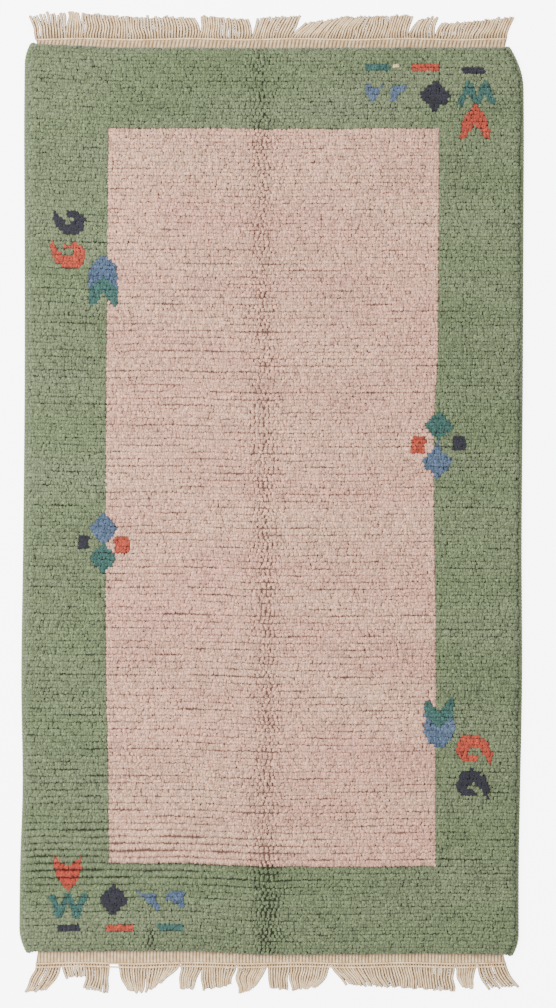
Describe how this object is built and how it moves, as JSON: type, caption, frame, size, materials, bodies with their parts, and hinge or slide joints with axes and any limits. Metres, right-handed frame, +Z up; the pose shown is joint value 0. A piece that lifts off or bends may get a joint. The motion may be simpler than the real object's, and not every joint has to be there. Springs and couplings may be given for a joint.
{
  "type": "wool rug",
  "caption": "Oblong hand-knotted wool rug: a thick ribbed pile slab with bound sides and a narrow woven band with a loose fringe at each end.",
  "frame": {"origin": "on the floor, under the middle of the outline over the fringes", "axes": "+X across the rug, +Y along the rug, +Z up out of the pile"},
  "size_m": [0.7, 1.364, 0.0131],
  "materials": {
    "pile_wool": "dense cut wool pile, matt, sage green border round a dusty pink field",
    "binding_wool": "overcast wool yarn, matt, sage green",
    "warp_cotton": "undyed cotton warp yarn, matt, cream"
  },
  "bodies": {
    "root": {"pile_slab": "pile_wool", "side_cord_left": "binding_wool", "side_cord_right": "binding_wool", "fringed_band_low": "warp_cotton", "fringed_band_high": "warp_cotton"}
  },
  "joints": []
}
